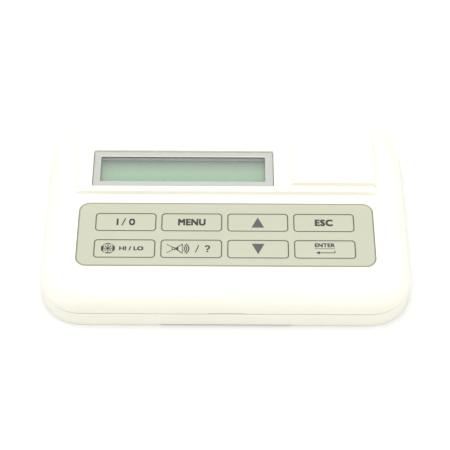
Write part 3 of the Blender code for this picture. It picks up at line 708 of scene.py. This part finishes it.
def make_window():
    """Silver frame: outer edge rounded, inner edge bevelled down to an upright wall round the clear lens."""
    low, high = WINDOW.z0, WINDOW.z1
    edge = 0.22
    sections = []
    for angle in quarter(4):
        inset = edge * (1 - math.cos(angle))
        z = high - edge * (1 - math.sin(angle))
        width, depth = WINDOW.w - 2 * inset, WINDOW.d - 2 * inset
        sections.append(centred(WINDOW.x, WINDOW.y, width, depth, 0.6 - inset, z, 8))
    bottom = [(x, y, low) for x, y, _ in sections[0]]
    piece = loft("window_bezel", [bottom, *sections])
    bevel = 0.36
    spans = ((low - 1, 0.0), (high - bevel, 0.0), (high + 1, 2 * (bevel + 1)))
    cutter = loft(
        "opening",
        [centred(GLASS.x, GLASS.y, VIEW_W + grow, VIEW_D + grow, 0.3 + grow / 4, z, 6) for z, grow in spans],
    )
    cut(piece, cutter)
    paint(smooth(piece, 24), "frame_plastic")
    # Inside the opening: painted highlight on the inner bevel, and painted shade with a painted shadow line
    # on the upright wall.
    for finish in (BEVEL_HIGHLIGHT, WALL_SHADE_FINISH):
        piece.data.materials.append(finish.material)
    for face in piece.data.polygons:
        x, y = face.center.x / MM - GLASS.x, face.center.y / MM - GLASS.y
        if abs(x) < VIEW_W / 2 + bevel and abs(y) < VIEW_D / 2 + bevel:
            upright = abs(face.normal.z) < 0.1
            face.material_index = 2 if upright else int(0.5 < face.normal.z < 0.9)
    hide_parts("window_frame")
    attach(piece, "panel")


# ---------------------------------------------------------------- membrane keypad


def make_overlay():
    low, high = OVERLAY.z0, OVERLAY.z1
    sections = [(0.0, low), (0.0, high - 0.05), (0.02, high - 0.015), (0.06, high)]
    film = loft(
        "overlay_sheet",
        [centred(0.0, OVERLAY.y, OVERLAY.w - 2 * i, OVERLAY.d - 2 * i, 4.0 - i, z, 16) for i, z in sections],
    )
    for name in KEYS:
        x, y, width, depth = key_place(name)
        width, depth = width + 2 * KEY_SLIT, depth + 2 * KEY_SLIT
        cut(film, plate("hole", x, y, width, depth, (low - 1, high + 1), KEY_R + KEY_SLIT, 12))
    paint(smooth(film), "overlay_film")
    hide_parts("keypad_overlay")
    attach(film, "panel")
    # A thin dark line of ink round the film's edge: painted shadow of the gap between the film and its
    # pocket.
    edge = border("overlay_shadow_gap", 0.0, OVERLAY.y, OVERLAY.w - 0.14, OVERLAY.d - 0.14, 3.93, 0.3, SHADOW_GAP_INK)
    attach(edge, "panel")


def key_place(name):
    """A key's centre, and the size of its printed face inside the flange."""
    span = Span(name)
    return span.x, span.y, span.w - KEY_FLANGE, span.d - KEY_FLANGE


def make_key(name):
    """The key's patch of film: nib and flange below, and a face that swells slightly inside its outline."""
    x, y, width, depth = key_place(name)
    span = Span(name)
    top = FACE_Z
    foot = top - 0.9
    shelf = top - 0.45
    sections = [
        centred(x, y, 2.6, 2.6, 1.28, span.z0, 12),
        centred(x, y, 3.0, 3.0, 1.48, span.z0 + 0.15, 12),
        centred(x, y, 3.0, 3.0, 1.48, foot, 12),
        centred(x, y, width + KEY_FLANGE, depth + KEY_FLANGE, KEY_R, foot, 12),
        centred(x, y, width + KEY_FLANGE, depth + KEY_FLANGE, KEY_R, shelf, 12),
        centred(x, y, width, depth, KEY_R, shelf, 12),
        centred(x, y, width, depth, KEY_R, top - 0.05, 12),
        centred(x, y, width - 0.06, depth - 0.06, 1.37, top, 12),
    ]
    for inset, rise in ((0.45, 0.0), (0.7, 0.02), (1.0, 0.055), (1.35, 0.07)):
        radius = max(0.35, KEY_R - inset)
        sections.append(centred(x, y, width - 2 * inset, depth - 2 * inset, radius, top + rise, 12))
    piece = loft(name + "_face", sections)
    paint(smooth(piece, 40), "overlay_film")
    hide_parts(name)
    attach(piece, name)


# ---------------------------------------------------------------- legends

LEGEND_Z = (FACE_Z + 0.05, FACE_Z + 0.095)


def ink_patch(points):
    """A flat closed patch of legend ink over an outline given in millimetres."""
    area = sum(a[0] * b[1] - b[0] * a[1] for a, b in zip(points, points[1:] + points[:1]))
    turned_left = points if area > 0 else points[::-1]
    return loft("ink", [[(x, y, z) for x, y in turned_left] for z in LEGEND_Z])


def line(points, width):
    """The outline of a line of that width along the points."""
    left, right = [], []
    for index, point in enumerate(points):
        before, after = points[max(0, index - 1)], points[min(len(points) - 1, index + 1)]
        along = Vector((after[0] - before[0], after[1] - before[1])).normalized()
        side = Vector((-along.y, along.x)) * width / 2
        left.append((point[0] + side.x, point[1] + side.y))
        right.append((point[0] - side.x, point[1] - side.y))
    return right + left[::-1]


def stroke(points, width):
    return ink_patch(line(points, width))


def arc(x, y, radius, start, end, steps=14):
    angles = [math.radians(start + (end - start) * step / steps) for step in range(steps + 1)]
    return [(x + radius * math.cos(a), y + radius * math.sin(a)) for a in angles]


def bar(x0, x1, y0, y1):
    return ink_patch([(x0, y0), (x1, y0), (x1, y1), (x0, y1)])


def glyphs(text, spacing):
    """Text in the built-in face as a closed mesh, in its own units."""
    curve = bpy.data.curves.new("lettering", "FONT")
    curve.body = text
    curve.space_character = spacing
    curve.extrude = 0.05
    curve.resolution_u = 5
    source = bpy.data.objects.new("lettering", curve)
    bpy.context.scene.collection.objects.link(source)
    graph = bpy.context.evaluated_depsgraph_get()
    data = bpy.data.meshes.new_from_object(source.evaluated_get(graph), depsgraph=graph)
    bpy.data.objects.remove(source)
    bpy.data.curves.remove(curve)
    return data


def lettering(text, x, y, width, height, bold, spacing=1.0):
    """Text fitted to a width and height about (x, y), thickened by joining four copies moved by bold."""
    copies = []
    for aside, up in ((-bold, -bold), (bold, -bold), (-bold, bold), (bold, bold)):
        data = glyphs(text, spacing)
        xs, ys = [v.co.x for v in data.vertices], [v.co.y for v in data.vertices]
        wide, tall = max(xs) - min(xs), max(ys) - min(ys)
        for vertex in data.vertices:
            px = x + aside + ((vertex.co.x - min(xs)) / wide - 0.5) * (width - 2 * bold)
            py = y + up + ((vertex.co.y - min(ys)) / tall - 0.5) * (height - 2 * bold)
            vertex.co = (px * MM, py * MM, LEGEND_Z[vertex.co.z > 0] * MM)
        part = bmesh.new()
        part.from_mesh(data)
        bpy.data.meshes.remove(data)
        bmesh.ops.remove_doubles(part, verts=part.verts, dist=1e-7)
        copies.append(link("letters", part))
    return join(*copies)


def fan_icon(x, y):
    """Eight narrow blades round a hub, inside a swirl of four thick arcs."""
    patches = [ink_patch(arc(x, y, 0.5, 0, 337.5, 15))]
    for turn in range(0, 360, 45):
        root = arc(x, y, 0.34, turn - 18, turn + 18, 2)
        tip = arc(x, y, 1.7, turn + 8, turn - 8, 2)
        patches.append(ink_patch(root + tip))
    for start, sweep, thick in ((-32, 62, 0.9), (148, 62, 0.9), (66, 50, 0.5), (246, 50, 0.5)):
        patches.append(stroke(arc(x, y, 2.24, start, start + sweep, 12), thick))
        patches.append(stroke(arc(x, y, 2.4, start + sweep - 4, start + sweep + 26, 8), 0.26))
    return patches


def horn_icon(x, y):
    """A horn with three sound waves, crossed out over its mouthpiece."""
    patches = [
        ink_patch([(x - 0.8, y - 0.36), (x + 0.15, y - 0.75), (x + 0.15, y + 0.75), (x - 0.8, y + 0.36)]),
        bar(x - 2.35, x - 2.05, y - 0.72, y + 0.72),
        stroke([(x + 1.7, y - 2.2), (x + 1.7, y + 2.2)], 0.24),
    ]
    for side in (1, -1):
        patches.append(stroke([(x - 4.3, y + side * 2.0), (x - 0.4, y - side * 0.3)], 0.26))
        patches.append(stroke([(x - 0.7, y + side * 0.3), (x + 1.8, y + side * 2.25)], 0.34))
        patches.append(stroke([(x - 2.3, y + side * 0.62), (x - 0.8, y + side * 0.42)], 0.24))
    for radius, spread in ((1.5, 40), (2.3, 50), (3.1, 50)):
        patches.append(stroke(arc(x + 1.05, y, radius, -spread, spread), 0.42))
    return patches


def question_mark(x, y):
    """A hook that runs into a short stem, and a dot."""
    hook = [*arc(x, y + 0.72, 0.74, 172, -38, 16), (x + 0.16, y - 0.18), (x, y - 0.42), (x, y - 0.72)]
    return [stroke(hook, 0.62), bar(x - 0.34, x + 0.34, y - 1.6, y - 1.02)]


def return_arrow(x, y):
    return [
        stroke([(x - 2.4, y - 0.1), (x + 3.9, y - 0.1)], 0.34),
        stroke([(x + 3.75, y - 0.2), (x + 3.75, y + 1.0)], 0.32),
        ink_patch([(x - 3.6, y - 0.1), (x - 2.0, y - 0.8), (x - 2.0, y + 0.6)]),
    ]


def triangle(x, y, up):
    """A filled arrowhead that points to the panel's top or lower edge."""
    base, tip = y - up * 2.55, y + up * 2.55
    return ink_patch([(x - 2.45, base), (x + 2.45, base), (x, tip)])


def legend(name, x, y):
    """The patches of ink that make up a key's legend."""
    if name == "key_on_off":
        slash = stroke([(x - 1.5, y - 1.75), (x - 0.15, y + 1.75)], 0.46)
        return [bar(x - 3.6, x - 2.86, y - 1.6, y + 1.6), slash, lettering("O", x + 2.4, y, 2.4, 3.35, 0.18)]
    if name == "key_menu":
        return [lettering("MENU", x, y, 10.7, 3.3, 0.19, 1.06)]
    if name == "key_escape":
        return [lettering("ESC", x, y, 7.0, 3.3, 0.2, 1.12)]
    if name == "key_up":
        return [triangle(x, y, 1)]
    if name == "key_down":
        return [triangle(x, y, -1)]
    if name == "key_fan_speed":
        return [*fan_icon(x - 6.3, y), lettering("HI / LO", x + 2.65, y + 0.05, 9.3, 1.98, 0.11)]
    if name == "key_mute_help":
        slash = stroke([(x + 1.65, y - 1.75), (x + 2.85, y + 1.75)], 0.4)
        return [*horn_icon(x - 5.1, y), slash, *question_mark(x + 6.15, y)]
    underline = stroke([(x - 3.85, y + 0.3), (x + 3.85, y + 0.3)], 0.22)
    return [lettering("ENTER", x, y + 1.95, 7.7, 1.88, 0.10, 1.08), underline, *return_arrow(x, y - 1.6)]


def border(name, x, y, width, depth, radius, thick, ink):
    """A closed line of ink along a rounded rectangle's inner edge."""
    low, high = FACE_Z - 0.02, FACE_Z + 0.025
    outer = [centred(x, y, width, depth, radius, z, 12) for z in (low, high)]
    inner = [
        centred(x, y, width - 2 * thick, depth - 2 * thick, radius - thick, z, 12) for z in (high, low)
    ]
    mesh = bmesh.new()
    rings = [[mesh.verts.new([value * MM for value in point]) for point in one] for one in (*outer, *inner)]
    for one, other in zip(rings, rings[1:] + rings[:1]):
        for index, corner in enumerate(one):
            after = (index + 1) % len(one)
            mesh.faces.new((corner, one[after], other[after], other[index]))
    piece = link(name, mesh)
    piece.data.materials.append(ink.material)
    return piece


def make_prints(name):
    """The ink on a key: its outline as one piece and its legend as another."""
    x, y, width, depth = key_place(name)
    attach(border(name + "_outline", x, y, width - 0.06, depth - 0.06, KEY_R, 0.32, OUTLINE_INK), name)
    patches = legend(name, x, y)
    piece = join(*patches)
    piece.name = name + "_legend"
    piece.data.materials.append((ARROW_INK if name in ("key_up", "key_down") else INK).material)
    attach(piece, name)


def make_dome(number):
    """A snap dome: pressed steel with a flat seat."""
    span = Span(f"snap_dome_{number}")
    x, y, base, rise, radius = span.x, span.y, span.z0, 0.7, 3.6
    sheet = 0.14
    outside = [(radius * math.cos(a), base + rise * math.sin(a)) for a in quarter(10)[:-1]]
    inside = [((radius - sheet) * math.cos(a), base + (rise - sheet) * math.sin(a)) for a in quarter(10)[:-1]]
    profile = [*inside[::-1], *outside]
    steps = 48
    mesh = bmesh.new()
    rings = [[mesh.verts.new([c * MM for c in p]) for p in circle(x, y, r, z, steps)] for r, z in profile]
    for low, high in zip(rings, rings[1:]):
        for index, corner in enumerate(low):
            after = (index + 1) % steps
            mesh.faces.new((corner, low[after], high[after], high[index]))
    for one, z in ((rings[0], base + rise - sheet), (rings[-1], base + rise)):
        crown = mesh.verts.new((x * MM, y * MM, z * MM))
        for index, corner in enumerate(one):
            after = one[(index + 1) % steps]
            mesh.faces.new((corner, after, crown) if one is rings[-1] else (after, corner, crown))
    piece = link(f"dome_{number}", mesh)
    paint(smooth(piece, 40), "dome_steel")
    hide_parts(f"snap_dome_{number}")
    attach(piece, "panel")
    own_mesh(piece)


# ---------------------------------------------------------------- room

# Each soft light: its name, place and width in metres, and power in watts.
LIGHTS = (
    ("key", (-0.04, 0.12, 1.45), 1.1, 12.6),
    ("left", (-1.2, 0.05, 0.7), 1.0, 3.8),
    ("right", (1.2, 0.05, 0.7), 1.0, 3.4),
    ("fill", (0.05, -1.1, 0.9), 0.9, 3.8),
)
SKY_STRENGTH = 0.63
FLOOR_HALF = 2.5


def make_camera():
    """Above and in front of the panel, at the angle and distance of a long product lens."""
    elevation, roll = math.radians(51.04), math.radians(0.28)
    distance, aside, lift = 0.5786, 0.000373, -0.00371
    look = Vector((0, math.cos(elevation), -math.sin(elevation)))
    up = Vector((0, math.sin(elevation), math.cos(elevation)))
    target = Vector((0, -0.01615, FACE_Z * MM))
    data = bpy.data.cameras.new("camera")
    data.lens, data.sensor_width = 120, 36
    camera = bpy.data.objects.new("camera", data)
    bpy.context.scene.collection.objects.link(camera)
    turn = Matrix((Vector((1, 0, 0)), up, -look)).transposed().to_4x4()
    spot = target - look * distance - Vector((aside, 0, 0)) - up * lift
    camera.matrix_world = Matrix.Translation(spot) @ turn @ Matrix.Rotation(roll, 4, "Z")
    bpy.context.scene.camera = camera


def make_light(name, spot, size, power):
    data = bpy.data.lights.new(name, "AREA")
    data.shape, data.size, data.energy = "SQUARE", size, power
    light = bpy.data.objects.new(name, data)
    bpy.context.scene.collection.objects.link(light)
    light.location = spot
    light.rotation_euler = (-Vector(spot)).to_track_quat("-Z", "Y").to_euler()


def make_floor():
    mesh = bmesh.new()
    bmesh.ops.create_grid(mesh, x_segments=8, y_segments=8, size=FLOOR_HALF)
    floor = link("floor", mesh)
    finish = Finish("paper", 0.8)
    paper = finish.noise(1.5, 4.0, 0.6)
    finish.color(finish.mix(paper, (0.76, 0.76, 0.76), (0.79, 0.79, 0.79)))
    finish.rough(paper, 0.75, 0.85)
    finish.bump((paper, 0.01))
    floor.data.materials.append(finish.material)


def make_room():
    scene = bpy.context.scene
    scene.view_settings.view_transform = "Standard"
    world = bpy.data.worlds.new("studio")
    world.use_nodes = True
    sky = world.node_tree.nodes["Background"]
    sky.inputs["Color"].default_value = (1.0, 1.0, 1.0, 1.0)
    sky.inputs["Strength"].default_value = SKY_STRENGTH
    scene.world = world
    make_floor()
    for light in LIGHTS:
        make_light(*light)


# ---------------------------------------------------------------- assembly


def finish_cad_nodes():
    """Every CAD node that stays in view takes its own procedural finish."""
    for row in frame["record"]["subparts"]:
        node = NODES[row["node"]]
        if not node.hide_render:
            paint(node, row["material_slot"])


make_room()
make_camera()
make_front()
make_rear()
make_window()
make_overlay()
for key_number, key_name in enumerate(KEYS, start=1):
    make_key(key_name)
    make_prints(key_name)
    make_dome(key_number)
finish_cad_nodes()
